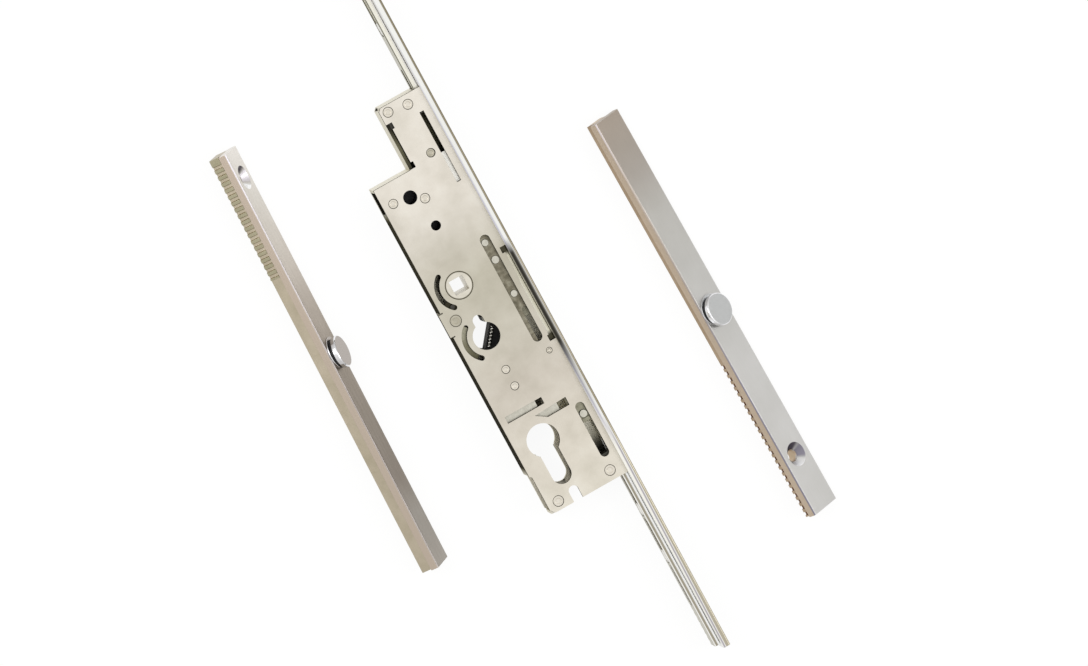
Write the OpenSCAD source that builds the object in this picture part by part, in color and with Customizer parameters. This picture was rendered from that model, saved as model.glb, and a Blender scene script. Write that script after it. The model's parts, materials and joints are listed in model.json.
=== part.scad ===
// Multipoint door lock: a gearbox with its centre strip, and two loose locking bars.
// X points to the front of the door edge, Y up the lock, Z through the thickness of the case.
// The origin is the axis of the upper follower, half way through the case.

/* [Case] */
// Thickness of the case over both plates
case_t = 16; // [15:0.5:18]
// Thickness of the cover plate and of the back plate
plate_t = 1.8; // [1.5:0.1:2.2]
// Thickness of the bent side walls
wall_t = 1.8; // [1.2:0.1:2.2]
// Spindle axis to the rear edge of the case
case_rear = 15.6; // [15.2:0.2:18]
// Spindle axis to the top edge of the case
case_up = 100; // [96:1:110]
// Spindle axis to the bottom edge of the case
case_down = 128.3; // [126:0.1:134]
// Spindle axis to the rear edge of the narrow head
neck_x = 6.3; // [5:0.1:8]
// Spindle axis to the shoulder under the narrow head
shoulder_y = 64.4; // [60:0.2:70]

/* [Faceplate and rail] */
// Spindle axis to the front of the faceplate
backset = 35; // [34.5:0.5:40]
// Width of the faceplate
face_w = 20; // [18:1:24]
// Thickness of the faceplate
face_t = 4; // [3:0.5:4]
// Spindle axis to the upper end of the faceplate
face_up = 240; // [236:1:280]
// Spindle axis to the lower end of the faceplate
face_down = 234; // [232:1:280]
// Radius of the long front edges of the faceplate
face_edge_r = 1.1; // [0.4:0.1:1.4]
// Thickness of the drive rail
rail_t = 2.8; // [2.4:0.1:3]
// Width of the drive rail
rail_w = 11; // [10:0.5:12]
// Spindle axis to each fixing hole of the faceplate
fix_y = 205; // [203:1:208]
// Diameter of a fixing hole
fix_d = 5; // [4.5:0.1:5.5]
// Width of a fixing hole's countersink
fix_sink_d = 9.4; // [8.5:0.1:10]

/* [Followers] */
// Side of the square for the spindle
spindle_sq = 8; // [7:0.1:8]
// Diameter of a follower's journal in the plates
journal_d = 14.8; // [14:0.1:15]
// Diameter of a follower's hub between the plates
hub_d = 19.2; // [18:0.2:20]
// Distance from the upper to the lower follower
follower_pitch = 30; // [28:0.5:32]
// Module of the follower's teeth and of the rack
tooth_module = 2; // [1.9:0.1:2.1]
// Teeth on a full circle of the follower's gear
tooth_count = 19; // [18:1:19]
// Turn of the followers from rest to locked, in degrees
follower_turn = 56; // [40:1:58]
// Radius of the arc slots
arc_r = 11.7; // [11:0.1:12.2]
// Width of the arc slots
arc_w = 2.8; // [2.6:0.1:3]

/* [Cylinder] */
// Spindle axis to the axis of the profile cylinder
cylinder_pitch = 92; // [90:0.5:94]
// Diameter of the round part of the cylinder hole
cylinder_d = 17.6; // [17:0.1:18]
// Width of the narrow part of the cylinder hole
cylinder_stem_w = 10.6; // [10:0.1:11]
// Height of the whole cylinder hole
cylinder_h = 34.2; // [33:0.1:34.5]
// Diameter of the hole for the cylinder's fixing screw
cylinder_screw_d = 5.5; // [5:0.1:6]
// Travel of the deadlock plate
deadlock_travel = 3.5; // [2:0.1:3.6]

/* [Locking bars] */
// Width of a locking bar
bar_w = 20; // [18:0.5:22]
// Thickness of a locking bar's face strip
bar_t = 4.3; // [3.5:0.1:4.5]
// Length of the lower locking bar
lower_bar_l = 241; // [230:1:250]
// Length of the upper locking bar
upper_bar_l = 235.5; // [225:0.5:250]
// Thickness of the lower bar's rack
lower_rack_t = 6.5; // [5:0.25:7]
// Width of the lower bar's rack
lower_rack_w = 13.8; // [12.5:0.1:14]
// Thickness of the upper bar's rack
upper_rack_t = 4.75; // [4.25:0.25:5.25]
// Width of the upper bar's rack
upper_rack_w = 11; // [10.5:0.25:11.5]
// Length of the teeth on the lower bar
lower_teeth_l = 69.5; // [40:0.5:80]
// Length of the teeth on the upper bar
upper_teeth_l = 95; // [60:0.5:100]
// Pitch of the bars' teeth and of the rail's teeth
bar_pitch = 3.7; // [3:0.1:4]
// Depth of these teeth
bar_tooth = 1; // [0.7:0.1:1.4]
// Diameter of the screw's hole in a bar
bar_screw_d = 6.5; // [5:0.1:7]
// Width of this hole's countersink
bar_sink_d = 13; // [10:0.5:13]
// Spindle axis to the middle of the lower bar as it lies behind the case
lower_bar_x = 72.3; // [60:0.1:100]
// Turn of the lower bar on the floor, in degrees
lower_bar_turn = -1.35; // [-4:0.05:2]
// Spindle axis to the middle of the upper bar as it lies in front of the case
upper_bar_x = 112.9; // [90:0.1:130]
// Turn of the upper bar on the floor, in degrees
upper_bar_turn = 1.05; // [-2:0.05:4]

/* [Mushroom cams] */
// Diameter of a cam's head
cam_d = 17.5; // [15:0.5:18]
// Height of a cam's head
cam_head_h = 2.9; // [2.4:0.1:5]
// Height of the gap under a cam's head
cam_gap = 1.2; // [1:0.1:3]
// Diameter of a cam's neck
cam_neck_d = 11; // [9:0.5:12]
// Diameter of a cam's shank
cam_shank_d = 7; // [6:0.2:8]
// Offset of a cam's head from its shank
cam_throw = 1.2; // [0.4:0.1:1.6]

/* [Hidden] */
$fn = 64;

// Clearances
run = 0.3;
fit = 0.08;
eps = 0.01;

// Heights through the case
z_top = case_t / 2;
z_in = z_top - plate_t;
z_lay = z_in - run;
plate_layer = 2.4;
z_plate = z_lay - plate_layer;
gear_z = 2.5;

// Front of the case
x_face = backset - face_t;
x_rail = x_face - 0.2 - rail_t;
x_open = x_rail - run;
x_wall = -case_rear + wall_t;

// Gear of the followers
pitch_r = tooth_module * tooth_count / 2;
tip_r = pitch_r + tooth_module;
root_r = pitch_r - 1.2 * tooth_module;
tooth_pitch = PI * tooth_module;
press = 20;
backlash = 0.2;
stroke = pitch_r * follower_turn * PI / 180;
low_phase = (round(-follower_pitch / tooth_pitch) * tooth_pitch + follower_pitch) / pitch_r * 180 / PI;
cyl_y = -cylinder_pitch;
low_y = -follower_pitch;

// Rivets of the case: x, y and radius of the end that shows
corner_rivets = [[10.5, case_up - 3.7, 2.7], [21.5, case_up - 5.1, 2.7],
    [-8.2, 4.6 - case_down, 2.9], [23.2, 5.3 - case_down, 2.9]];
corner_shank_r = 1.7;
post_rivets = [[-9.8, 53.6, 2.5], [6.1, 48.1, 2.6]];
head_rivet_at = [20, shoulder_y + 2.8, 2.35];
guide_pins = [[0.5, -50.2, 2.2], [0.5, -60, 2.2]];
small_rivet = [25.2, -52.6, 1.6];
stud_at = [-10.3, low_y / 2 - 0.3, 3.1];
bush_holes = [[-0.5, 52.2, 3.7], [4.3, 33, 2.65]];
block_screw_y = [case_up - 10, 10.8 - case_down];
guide_y = [172, 135, -150, -178];

// Deadlock nose: upper and lower edge, and the notches that take it
nose_y = [cyl_y + 14.6, cyl_y + cylinder_d / 2 + 0.5];

// Slots of the cover: x of the middle, upper end, lower end and width
long_slot = [23.1, 16.7, -45.9, 5.4];
thin_slot = [25.9, 88.3, 47.2, 2.4];
arc_span = [130, 230];
low_slot = [25.2, cyl_y + 8.2, cyl_y - 23.7, 5];
notch = [1.5, 5.4, 8.1];

// Openings of the cover over the deadlock plate, and its two recessed edges, as lower and upper end.
// The front recess gets deeper below its bend, and each recess ends in two reliefs.
deadlock_window = [-12, 9.75, cyl_y + 16.5, cyl_y + 20.25];
nose_window = [[2.2, cyl_y + 13.2], [20.9, cyl_y + 14], [20.9, cyl_y + 9.4], [8, cyl_y + 9.3]];
front_recess = [-45.3, 3.3];
front_deep = [1.7, 2.3];
front_bend_y = [-15, -10.5];
head_recess = [shoulder_y + 3.4, 87.7];
relief_h = 3.4;
relief_deep = 3.2;

// Upper end of the rear wall, which leaves room for the rivet above it
rear_wall_top = 49.5;

module bar2d(x0, x1, y0, y1) {
    translate([x0, y0]) square([x1 - x0, y1 - y0]);
}

// Upright slot with round ends
module slot2d(s) {
    r = s[3] / 2;
    translate([s[0], s[1] - r]) circle(r);
    translate([s[0], s[2] + r]) circle(r);
    bar2d(s[0] - r, s[0] + r, s[2] + r, s[1] - r);
}

function polar(r, a) = [r * cos(a), r * sin(a)];

// Sector between two angles, under half a turn
module wedge(r, a0, a1) {
    polygon(concat([[0, 0]], [for (i = [0:4]) polar(r * 1.4, a0 + (a1 - a0) * i / 4)]));
}

module ring_sector(r0, r1, a0, a1) {
    intersection() {
        difference() {
            circle(r1);
            circle(r0);
        }
        wedge(r1, a0, a1);
    }
}

// Slot along an arc, whose round ends are a hair narrower so that the two cuts don't touch edge to edge
module arc_slot(r, w, a0, a1) {
    ring_sector(r - w / 2, r + w / 2, a0, a1);
    for (a = [a0, a1]) translate(polar(r, a)) circle(w / 2 - 2 * eps);
}

// Outline of both plates of the case
module case_outline() {
    step = 1.2;
    polygon([[x_face, -case_down], [x_face, case_up], [neck_x + 1.6, case_up], [neck_x, case_up - 1.6],
        [neck_x, shoulder_y], [-case_rear, shoulder_y], [-case_rear, -case_down + 23.3],
        [-case_rear + step, -case_down + 22], [-case_rear + step, -case_down + 2.5],
        [-case_rear + step + 2, -case_down]]);
}

// Profile cylinder hole, and the notch in the bottom edge
module cylinder_hole() {
    translate([0, cyl_y]) circle(cylinder_d / 2);
    slot2d([0, cyl_y, cyl_y + cylinder_d / 2 - cylinder_h, cylinder_stem_w]);
}

// Wider towards the front in the back plate by this much
module bottom_notch(wider) {
    slot2d([notch[0] + wider / 2, notch[2] - case_down, -case_down - notch[2], notch[1] + wider]);
}

// Opening at the lower follower: a circle with a lobe above it
lobe_w = 5.6;
lobe_h = 12;
module lower_opening(clear) {
    translate([0, low_y]) circle(journal_d / 2 - 0.2 + clear);
    slot2d([0, low_y + lobe_h + clear, low_y, lobe_w + 2 * clear]);
}

module rivet_holes(extra) {
    for (p = concat(corner_rivets, post_rivets, guide_pins, [small_rivet, head_rivet_at, stud_at]))
        translate([p[0], p[1]]) circle(p[2] + extra);
}

// Tab of the cover over a gap in the rear wall: how far it stands out, and its length
tab_out = 1.4;
tab_l = 13;

module back_case() {
    low_wall_y = -case_down + 23.3;
    notch_wider = 2.2;
    color("darkkhaki") {
        translate([0, 0, -z_top]) linear_extrude(plate_t) difference() {
            case_outline();
            circle(journal_d / 2 + fit);
            lower_opening(fit);
            cylinder_hole();
            bottom_notch(notch_wider);
            rivet_holes(fit);
        }
        translate([0, 0, -z_in]) linear_extrude(2 * z_in) difference() {
            union() {
                bar2d(-case_rear, x_wall, low_wall_y, stud_at[1] - tab_l / 2);
                bar2d(-case_rear, x_wall, stud_at[1] + tab_l / 2, rear_wall_top);
                bar2d(-case_rear, neck_x + wall_t, shoulder_y - wall_t, shoulder_y);
                bar2d(neck_x, neck_x + wall_t, shoulder_y - wall_t, case_up - 1.6);
                bar2d(neck_x + 1.6, x_open, case_up - wall_t, case_up);
                bar2d(x_wall - 0.4, x_open, -case_down, wall_t - case_down);
            }
            bottom_notch(notch_wider);
        }
    }
}

module cover_plate() {
    cut = 0.7;
    color("gainsboro") translate([0, 0, z_in]) linear_extrude(plate_t) difference() {
        union() {
            case_outline();
            bar2d(-case_rear - tab_out, 0, stud_at[1] - tab_l / 2, stud_at[1] + tab_l / 2);
        }
        for (s = [-1, 1]) translate([-case_rear - tab_out, stud_at[1] + s * (tab_l + cut) / 2 - cut / 2])
            square([tab_out + 1.2, cut]);
        circle(journal_d / 2 + fit);
        lower_opening(fit);
        cylinder_hole();
        bottom_notch(0);
        rivet_holes(fit);
        for (p = bush_holes) translate([p[0], p[1]]) circle(p[2]);
        for (y = [0, low_y]) translate([0, y]) arc_slot(arc_r, arc_w, arc_span[0], arc_span[1]);
        slot2d(long_slot);
        slot2d(low_slot);
        bar2d(thin_slot[0] - thin_slot[3] / 2, thin_slot[0] + thin_slot[3] / 2, thin_slot[2], thin_slot[1]);
        bar2d(deadlock_window[0], deadlock_window[1], deadlock_window[2], deadlock_window[3]);
        polygon(nose_window);
        // Recess of the front edge between two corner reliefs
        polygon([[x_face + 1, front_recess[1]], [x_face - front_deep[0], front_recess[1]],
            [x_face - front_deep[0], front_bend_y[1]], [x_face - front_deep[1], front_bend_y[0]],
            [x_face - front_deep[1], front_recess[0]], [x_face + 1, front_recess[0]]]);
        for (y = [front_recess[1], front_recess[0] - relief_h])
            bar2d(x_face - relief_deep, x_face + 1, y, y + relief_h);
        // Recess of the narrow head between two deeper corner reliefs
        bar2d(neck_x - 1, neck_x + 2.1, head_recess[0], head_recess[1]);
        for (y = [head_recess[0] - relief_h + 0.2, head_recess[1] - 0.2])
            bar2d(neck_x - 1, neck_x + 3.4, y, y + relief_h);
    }
}

// Cross-section of the faceplate, with rounded front edges
module face_profile() {
    r = face_edge_r;
    h = face_w / 2;
    bar2d(x_face, backset - r, -h, h);
    bar2d(x_face, backset, r - h, h - r);
    for (s = [-1, 1]) translate([backset - r, s * (h - r)]) circle(r, $fn = 32);
}

module countersunk(y, d, sink_d) {
    sink = (sink_d - d) / 2;
    translate([x_face - 1, y, 0]) rotate([0, 90, 0]) cylinder(h = face_t + 2, d = d);
    translate([backset - sink, y, 0]) rotate([0, 90, 0])
        cylinder(h = sink + eps, d1 = d, d2 = sink_d + 2 * eps);
}

case_screw_d = 4;
case_head_d = 8;
screw_sunk = 0.2;
guide_d = 4.4;
guide_head_d = 7.4;
guide_head_h = 1.1;

module faceplate() {
    color("silver") difference() {
        translate([0, face_up, 0]) rotate([90, 0, 0]) linear_extrude(face_up + face_down) face_profile();
        for (y = [fix_y, -fix_y]) countersunk(y, fix_d, fix_sink_d);
        countersunk(cyl_y, cylinder_screw_d, cylinder_screw_d + 3);
        for (y = block_screw_y)
            countersunk(y, case_screw_d + 2 * fit, case_head_d + 2 * fit + 2 * screw_sunk);
        for (y = guide_y) translate([x_face - 1, y, 0]) rotate([0, 90, 0])
            cylinder(h = face_t + 2, d = guide_d + 2 * fit);
    }
}

// Clinched end of a rivet: a broken rim round a dished middle
module rivet_end(r, h) {
    rim = 0.25;
    dish = 0.25;
    rotate_extrude() polygon([[0, 0], [r, 0], [r, h - rim], [r - rim, h], [r * 0.62, h], [r * 0.4, h - dish],
        [0, h - dish]]);
}

// Rivet with an end that shows a little under flush in each plate, and a collar between them
rivet_sunk = 0.1;
module spacer(p, shank_r, collar_r, z_collar, sunk = rivet_sunk) {
    translate([p[0], p[1], -z_in]) cylinder(h = 2 * z_in, r = shank_r);
    translate([p[0], p[1], -z_in]) cylinder(h = z_in + z_collar, r = collar_r);
    for (s = [0, 1]) mirror([0, 0, s]) translate([p[0], p[1], z_in]) rivet_end(p[2], plate_t - sunk);
}

module spacer_rivets() {
    color("lightgray") {
        for (p = post_rivets) spacer(p, p[2], p[2] + 0.5, z_in);
        for (p = guide_pins) spacer(p, p[2], p[2] + 1.2, z_plate - run);
        for (p = corner_rivets) spacer(p, corner_shank_r, corner_shank_r, 0);
        spacer(small_rivet, small_rivet[2], small_rivet[2] + 0.3, z_in);
    }
}

module head_rivet() {
    color("darkkhaki") spacer(head_rivet_at, head_rivet_at[2], head_rivet_at[2] + 0.5, z_in, 0.7);
}

module block(x0, y0, y1, rivets, screw_y) {
    difference() {
        translate([x0, y0, -z_in]) cube([x_open - x0, y1 - y0, 2 * z_in]);
        for (p = rivets) translate([p[0], p[1], -case_t]) cylinder(h = 2 * case_t, r = corner_shank_r + fit);
        translate([x0 + 2, screw_y, 0]) rotate([0, 90, 0]) cylinder(h = x_open, d = case_screw_d + 2 * fit);
    }
}

module top_block() {
    color("dimgray")
        block(neck_x + wall_t, case_up - 12.8, case_up - wall_t, [corner_rivets[0], corner_rivets[1]],
            block_screw_y[0]);
}

module bottom_block() {
    color("dimgray")
        block(notch[0] + 8, wall_t - case_down, 14.3 - case_down, [corner_rivets[3]], block_screw_y[1]);
}

module case_screws() {
    len = 9;
    sink = (case_head_d - case_screw_d) / 2;
    color("silver") for (y = block_screw_y) translate([0, y, 0]) rotate([0, 90, 0]) {
        translate([0, 0, x_open - len]) cylinder(h = backset - screw_sunk - x_open + len, d = case_screw_d);
        translate([0, 0, backset - screw_sunk - sink])
            cylinder(h = sink, d1 = case_screw_d, d2 = case_head_d);
    }
}

// Studs on the faceplate that guide the rail, with a head sunk in a groove of it
module rail_guides() {
    color("silver") for (y = guide_y) translate([0, y, 0]) rotate([0, 90, 0]) {
        translate([0, 0, x_rail + 0.1]) cylinder(h = backset - 0.2 - x_rail, d = guide_d);
        translate([0, 0, x_rail + 0.1]) cylinder(h = guide_head_h, d = guide_head_d);
    }
}

// Black bushes that take the screws of the door furniture
module screw_bushes() {
    color("black") for (p = bush_holes) translate([p[0], p[1], -z_in]) difference() {
        cylinder(h = 2 * z_in, r = p[2] + 0.8);
        translate([0, 0, 3]) cylinder(h = 2 * z_in, r = p[2]);
    }
}

module spring_stud() {
    color("darkkhaki") spacer(stud_at, stud_at[2], stud_at[2], z_in);
}

// Spring wire round the stud, whose legs rub on both hubs
module brake_spring() {
    wire_r = 0.6;
    coil_r = stud_at[2] + wire_r + 0.25;
    turns = 3;
    rise = 2 * wire_r + 0.5;
    z0 = -(turns * rise) / 2;
    color("gray") translate([stud_at[0], stud_at[1], 0])
        sweep([for (i = [0:16 * turns])
            [coil_r * cos(i * 22.5), coil_r * sin(i * 22.5), z0 + rise * i / 16]], wire_r, 6, [0, 0, 1]);
}

// Tube along a list of points that winds round an axis: a ring of corners square to each point's direction
function unit(v) = v / norm(v);
function tangent(p, i) = unit(p[min(i + 1, len(p) - 1)] - p[max(i - 1, 0)]);
module sweep(p, r, sides, axis) {
    n = len(p);
    rings = [for (i = [0:n - 1]) let (t = tangent(p, i), u = unit(cross(t, axis)), v = cross(u, t))
        for (k = [0:sides - 1]) p[i] + r * (cos(k * 360 / sides) * u + sin(k * 360 / sides) * v)];
    walls = [for (i = [0:n - 2]) for (k = [0:sides - 1])
        let (a = i * sides + k, b = i * sides + (k + 1) % sides)
        for (f = [[a, b, b + sides], [a, b + sides, a + sides]]) f];
    caps = [[for (k = [sides - 1:-1:0]) k], [for (k = [0:sides - 1]) (n - 1) * sides + k]];
    polyhedron(rings, concat(walls, caps));
}

// Involute tooth of the follower
function inv(a) = tan(a) * 180 / PI - a;
base_r = pitch_r * cos(press);
half_tooth = 90 / tooth_count - backlash / 2 / pitch_r * 180 / PI;
function flank(r) = half_tooth + inv(press) - (r > base_r ? inv(acos(base_r / r)) : 0);
flank_steps = 5;
flank_r = concat([root_r - 0.5], [for (i = [0:flank_steps]) base_r + (tip_r - base_r) * i / flank_steps]);
module tooth() {
    n = len(flank_r) - 1;
    polygon(concat([for (i = [0:n]) polar(flank_r[i], -flank(flank_r[i]))],
        [for (i = [n:-1:0]) polar(flank_r[i], flank(flank_r[i]))]));
}

teeth_used = ceil(follower_turn / (360 / tooth_count)) + 1;
module sector_gear(phase) {
    step = 360 / tooth_count;
    edge = step * 0.36;
    ring_sector(hub_d / 2 - 1, root_r, phase - edge, phase + step * (teeth_used - 1) + edge);
    for (k = [0:teeth_used - 1]) rotate(phase + k * step) tooth();
}

// Outer radius and ends of the lugs under the arc slots, in degrees
lug_r = arc_r + 1.8;
upper_lug = [206, 244];
lower_lug = [128, 222];
pin_turn = 225;

module upper_follower() {
    color("silver") difference() {
        union() {
            cylinder(h = case_t - 0.1, d = journal_d, center = true);
            cylinder(h = 2 * z_lay, d = hub_d, center = true);
            linear_extrude(2 * gear_z, center = true) sector_gear(0);
            translate([0, 0, z_plate]) linear_extrude(plate_layer)
                ring_sector(hub_d / 2 - 1, lug_r, upper_lug[0], upper_lug[1]);
        }
        cube([spindle_sq, spindle_sq, 2 * case_t], center = true);
        translate(polar(arc_r, pin_turn)) translate([0, 0, z_plate - 1]) cylinder(h = case_t, d = pin_d);
    }
}

pin_d = arc_w - 0.4;
module upper_stop_pin() {
    color("silver") translate(polar(arc_r, pin_turn)) translate([0, 0, z_plate])
        cylinder(h = z_top - 0.8 - z_plate, d = pin_d);
}

// Chord where the lower follower is cut away, and its direction
chord_turn = 51.7;
chord_off = -0.7;
// The part of the chord's wall that stands back, and how far it lies under the top
chord_back = 1.2;
chord_back_z = 10;

module lower_cut(off) {
    intersection() {
        lower_opening(0);
        translate([0, low_y]) rotate(chord_turn) bar2d(-30, 30, off, 30);
    }
}

// Coil spring in a groove along the chord: its radius, its wire, and the middle of its groove
spring_r = 1.1;
spring_wire_r = 0.42;
spring_half = 5.5;
spring_off = chord_off - spring_r - 0.4;
spring_z = z_top - 0.25 - spring_r;

module lower_follower() {
    color("#202022") difference() {
        translate([0, low_y, 0]) union() {
            cylinder(h = case_t - 0.3, r = journal_d / 2 - 0.2, center = true);
            cylinder(h = 2 * z_lay, d = hub_d, center = true);
            linear_extrude(2 * gear_z, center = true) sector_gear(low_phase);
        }
        linear_extrude(2 * case_t, center = true) lower_cut(chord_off);
        translate([0, 0, -case_t]) linear_extrude(case_t + z_top - chord_back_z)
            lower_cut(chord_off - chord_back);
        translate([0, low_y, z_plate]) linear_extrude(case_t) difference() {
            circle(hub_d / 2 + 1);
            circle(journal_d / 2 - 0.2);
        }
        translate([0, low_y, spring_z - spring_r]) linear_extrude(case_t) rotate(chord_turn)
            translate([0, spring_off]) square([2 * spring_half + 1, 2 * spring_r + 0.1], center = true);
    }
}

// Olive cam plate on the lower hub, seen through its arc slot
module lower_cam_plate() {
    color("darkkhaki") translate([0, low_y, z_plate]) linear_extrude(plate_layer)
        difference() {
            union() {
                circle(hub_d / 2);
                ring_sector(hub_d / 2 - 1, lug_r, lower_lug[0], lower_lug[1]);
            }
            circle(journal_d / 2 - 0.2 + fit);
            slot2d([0, lobe_h + 3, 0, lobe_w]);
        }
}

module lower_follower_spring() {
    turns = 6;
    steps = 14;
    n = turns * steps;
    coil_r = spring_r - spring_wire_r;
    color("silver") translate([0, low_y, spring_z]) rotate(chord_turn) translate([0, spring_off, 0])
        sweep([for (i = [0:n]) [spring_half * (2 * i / n - 1), coil_r * cos(i * 360 / steps),
            coil_r * sin(i * 360 / steps)]], spring_wire_r, 6, [1, 0, 0]);
}

// Slot of the rail that clears a fixed pin or its head over the whole stroke, cut that deep from behind
module rail_slot_at(y, d, deep) {
    w = d + 0.8;
    y0 = y - 0.4;
    y1 = y + stroke + 0.4;
    for (c = [y0, y1]) translate([x_rail - 1, c, 0]) rotate([0, 90, 0]) cylinder(h = deep + 1, d = w);
    translate([x_rail - 1, y0, -w / 2]) cube([deep + 1, y1 - y0, w]);
}

// Row of trapezoid gaps along Y, cut into an edge that faces -X of this plane
module tooth_gaps(y0, y1) {
    n = floor((y1 - y0) / bar_pitch);
    for (i = [0:n - 1]) translate([0, y0 + (i + 0.5) * bar_pitch])
        polygon([[-1, -bar_pitch * 0.36], [bar_tooth, -bar_pitch * 0.18], [bar_tooth, bar_pitch * 0.18],
            [-1, bar_pitch * 0.36]]);
}

rail_up = face_up - 2;
rail_down = face_down - 2;
tab_y = [-22, 8, 30];
tab_h = 7;
module drive_rail() {
    color("#b9b79b") difference() {
        translate([x_rail, -rail_down, -rail_w / 2]) cube([rail_t, rail_up + rail_down, rail_w]);
        for (y = guide_y) {
            rail_slot_at(y, guide_d, rail_t + 1);
            rail_slot_at(y, guide_head_d, guide_head_h + 0.1 + run);
        }
        for (y = [fix_y, -fix_y]) rail_slot_at(y, fix_d, rail_t + 1);
        for (y = block_screw_y) rail_slot_at(y, case_screw_d, rail_t + 1);
        rail_slot_at(cyl_y, cylinder_screw_d, rail_t + 1);
        for (y = tab_y) translate([x_rail - 1, y, -2.5]) cube([rail_t + 2, tab_h, 5.9]);
        // Teeth that take the bars, along the lower long edge near both ends
        for (y = [-rail_down, fix_y + 5]) translate([x_rail - 1, 0, -rail_w / 2])
            rotate([0, -90, 0]) mirror([0, 0, 1]) linear_extrude(rail_t + 2)
                tooth_gaps(y, y + rail_up - fix_y - 5);
    }
}

rack_z = [-3, z_plate];
rack_end = -37;
rack_top = 44;
module rack_slide() {
    hw = tooth_pitch / 4 - backlash / 2;
    tip_x = pitch_r - tooth_module;
    root_x = pitch_r + 1.2 * tooth_module;
    slope = tan(press);
    color("#8f8d72") translate([0, 0, rack_z[0]]) difference() {
        linear_extrude(rack_z[1] - rack_z[0]) difference() {
            union() {
                bar2d(root_x, x_rail, rack_end, rack_top);
                for (k = [-6:3]) translate([0, (k + 0.5) * tooth_pitch])
                    polygon([[tip_x, -hw + tooth_module * slope], [tip_x, hw - tooth_module * slope],
                        [root_x + eps, hw + 1.2 * tooth_module * slope],
                        [root_x + eps, -hw - 1.2 * tooth_module * slope]]);
            }
            // Room for the small rivet over the stroke
            bar2d(small_rivet[0] - small_rivet[2] - 0.6, x_rail + 1, rack_end - 1,
                small_rivet[1] + stroke + small_rivet[2] + 1);
        }
        for (p = pips) translate([p[0], p[1], -1]) cylinder(h = case_t, r = pip_shank_r + fit);
    }
    color("#8f8d72") for (y = tab_y) translate([x_rail, y + 0.1, -2.4]) cube([rail_t, tab_h - 0.2, 5.7]);
}

// Rivets of the slide: x, y and radius of the head in the long slot
pips = [[22.6, 12.4, 1.8], [23.2, 2.1, 2.05], [23.4, -18, 1.8]];
pip_shank_r = 0.9;
slide_end = -26.5;
slide_top = 64.5;
// Leg of the slide plate down the rear side of the long slot, with a rounded inner corner
leg_x = 22.9;
leg_end = -46.8;
module slide_plate() {
    r = 1.6;
    color("#a5a38c") translate([0, 0, z_plate]) linear_extrude(plate_layer) difference() {
        union() {
            bar2d(20, x_rail, slide_end, rack_top);
            bar2d(20, leg_x, leg_end, slide_end + 1);
            difference() {
                bar2d(leg_x - 1, leg_x + r, slide_end - r, slide_end + 1);
                translate([leg_x + r, slide_end - r]) circle(r);
            }
            bar2d(23.4, x_rail, rack_top - 1, slide_top);
        }
        for (p = pips) translate([p[0], p[1]]) circle(p[2] + fit);
    }
}

module slide_rivets() {
    color("gainsboro") for (p = pips) translate([p[0], p[1], 0]) {
        translate([0, 0, rack_z[0]]) cylinder(h = z_plate - rack_z[0] + 1, r = pip_shank_r);
        translate([0, 0, z_plate]) cylinder(h = z_lay + 0.5 - z_plate, r = p[2]);
    }
}

// Lower slide, with a notch for the deadlock nose at each end of the stroke
module lower_slide() {
    end = cyl_y - 0.8;
    notch_x = 20.2;
    x0 = 16.2;
    lip_w = low_slot[3] - 0.8;
    color("#a5a38c") difference() {
        union() {
            translate([0, 0, z_plate]) linear_extrude(plate_layer) difference() {
                bar2d(x0, x_rail, end, -57);
                for (y = [nose_y[1] - 0.6, nose_y[1] - 0.6 + stroke])
                    bar2d(x0 - 1, notch_x, y, y + nose_y[0] - nose_y[1] + 1.2);
            }
            translate([low_slot[0] - lip_w / 2, end - 2, z_plate]) cube([lip_w, 2, z_top - 1 - z_plate]);
        }
        translate([low_slot[0], cyl_y + 1.6, z_plate - 1]) cylinder(h = case_t, r = 2 + fit);
    }
}

module lower_slide_pin() {
    color("gainsboro") translate([low_slot[0], cyl_y + 1.6, z_plate])
        cylinder(h = z_top - 0.6 - z_plate, r = 2);
}

module deadlock_plate() {
    top = -46;
    nose_x = 15.6;
    color("gainsboro") translate([0, 0, z_plate]) linear_extrude(plate_layer) difference() {
        union() {
            bar2d(-6, 6.1, -66, top);
            polygon([[-12.6, -65], [-12.6, cyl_y + 15.2], [2, cyl_y + 15.2], [2, nose_y[1] + 3],
                [6, nose_y[1]], [nose_x, nose_y[1]], [nose_x, nose_y[0]], [6.1, nose_y[0]], [6.1, -65]]);
        }
        for (p = guide_pins) {
            r = p[2] + 0.2;
            bar2d(p[0] - deadlock_travel, p[0], p[1] - r, p[1] + r);
            for (x = [p[0] - deadlock_travel, p[0]]) translate([x, p[1]]) circle(r);
        }
    }
}

// Locking bars lie on the floor on the long facet from the strip's edge to the rack's corner.
// Along a bar, X runs across its face, Y along it and Z out of its face.
floor_z = -face_w / 2;
rack_inset = 3;
function rack_x(inset, w) = [inset - bar_w / 2, inset + w - bar_w / 2];
lower_rx = rack_x(rack_inset, lower_rack_w);
upper_rx = rack_x(rack_inset - 0.5, upper_rack_w);
function lie(rx, t) = atan(t / (bar_w / 2 - rx[1]));
lower_lie = lie(lower_rx, lower_rack_t);
upper_lie = lie(upper_rx, upper_rack_t);
function lift(a) = floor_z + bar_w / 2 * sin(a) + bar_t * cos(a);
lower_at = [-lower_bar_x, 0.8];
upper_at = [upper_bar_x, -77.5];
lower_span = [-0.5125 * lower_bar_l, 0.4875 * lower_bar_l];
upper_span = [-0.511 * upper_bar_l, 0.489 * upper_bar_l];
cam_x = -1.5;
bar_edge_r = 1;

module lower_place() {
    translate([lower_at[0], lower_at[1], lift(lower_lie)]) rotate([0, lower_lie, lower_bar_turn]) children();
}

module upper_place() {
    translate([upper_at[0], upper_at[1], lift(upper_lie)]) rotate([0, upper_lie, upper_bar_turn]) children();
}

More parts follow.
